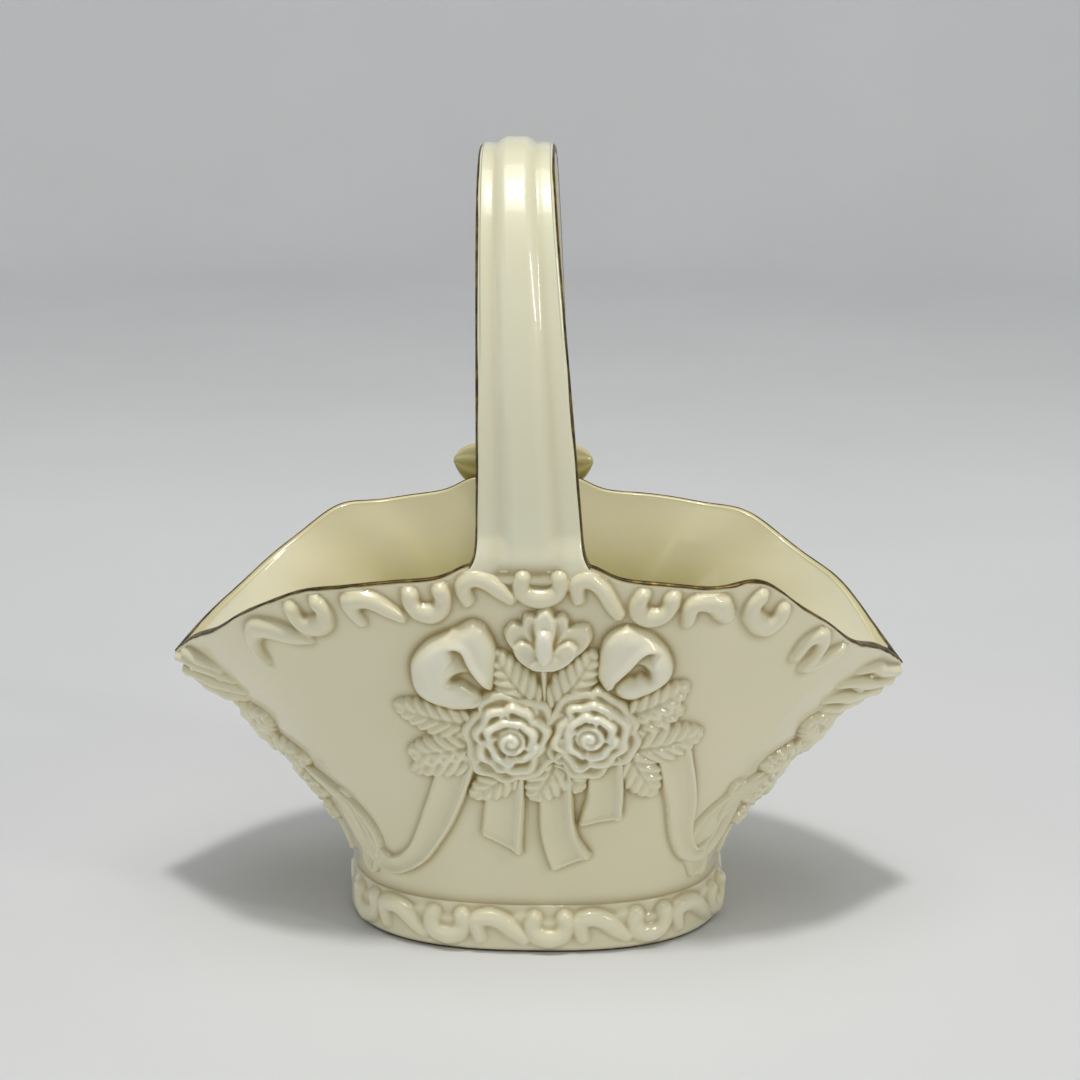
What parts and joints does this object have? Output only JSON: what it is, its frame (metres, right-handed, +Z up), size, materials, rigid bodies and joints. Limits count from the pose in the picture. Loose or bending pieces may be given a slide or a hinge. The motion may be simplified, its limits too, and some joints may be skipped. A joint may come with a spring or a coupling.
{
  "type": "flower girl basket",
  "caption": "Boat-shaped porcelain flower basket with a fluted arch handle, wavy gilded rim, oval foot ring and moulded roses, leaves, ribbons and scrolls.",
  "frame": {"origin": "centre of the foot ring's underside, where the basket stands", "axes": "+X along the bowl towards its right-hand end, +Y from the front spray to the rear bow, +Z up through the arch of the handle"},
  "size_m": [0.206, 0.1073, 0.217],
  "materials": {
    "porcelain": "gloss ivory glaze",
    "sprig_porcelain": "gloss ivory glaze over moulded relief",
    "gilding": "worn dark gold lustre line"
  },
  "bodies": {
    "root": {"bowl_wall": "porcelain", "bowl_floor": "porcelain", "foot_ring": "porcelain", "handle": "porcelain", "rim_gilding_left": "gilding", "rim_gilding_right": "gilding", "handle_gilding_left": "gilding", "handle_gilding_right": "gilding", "foot_gilding": "gilding", "front_rose_left": "sprig_porcelain", "front_rose_right": "sprig_porcelain", "front_rosebud": "sprig_porcelain", "front_bud_leaves": "sprig_porcelain", "front_bow_loop_left": "sprig_porcelain", "front_bow_loop_right": "sprig_porcelain", "front_leaves_left": "sprig_porcelain", "front_leaves_right": "sprig_porcelain", "front_leaves_lower": "sprig_porcelain", "front_swag_left": "sprig_porcelain", "front_swag_right": "sprig_porcelain", "front_tail_left": "sprig_porcelain", "front_tail_centre": "sprig_porcelain", "front_tail_right": "sprig_porcelain", "front_rim_scrolls": "sprig_porcelain", "front_foot_scrolls": "sprig_porcelain", "back_rose_left": "sprig_porcelain", "back_rose_right": "sprig_porcelain", "back_rosebud": "sprig_porcelain", "back_bud_leaves": "sprig_porcelain", "back_bow_loop_left": "sprig_porcelain", "back_bow_loop_right": "sprig_porcelain", "back_leaves_left": "sprig_porcelain", "back_leaves_right": "sprig_porcelain", "back_leaves_lower": "sprig_porcelain", "back_swag_left": "sprig_porcelain", "back_swag_right": "sprig_porcelain", "back_tail_left": "sprig_porcelain", "back_tail_centre": "sprig_porcelain", "back_tail_right": "sprig_porcelain", "back_rim_scrolls": "sprig_porcelain", "back_foot_scrolls": "sprig_porcelain", "left_end_roses": "sprig_porcelain", "left_end_leaves": "sprig_porcelain", "left_end_ribbons": "sprig_porcelain", "right_end_roses": "sprig_porcelain", "right_end_leaves": "sprig_porcelain", "right_end_ribbons": "sprig_porcelain", "rear_bow_loop_left": "sprig_porcelain", "rear_bow_loop_right": "sprig_porcelain", "rear_bow_knot": "sprig_porcelain"}
  },
  "joints": []
}
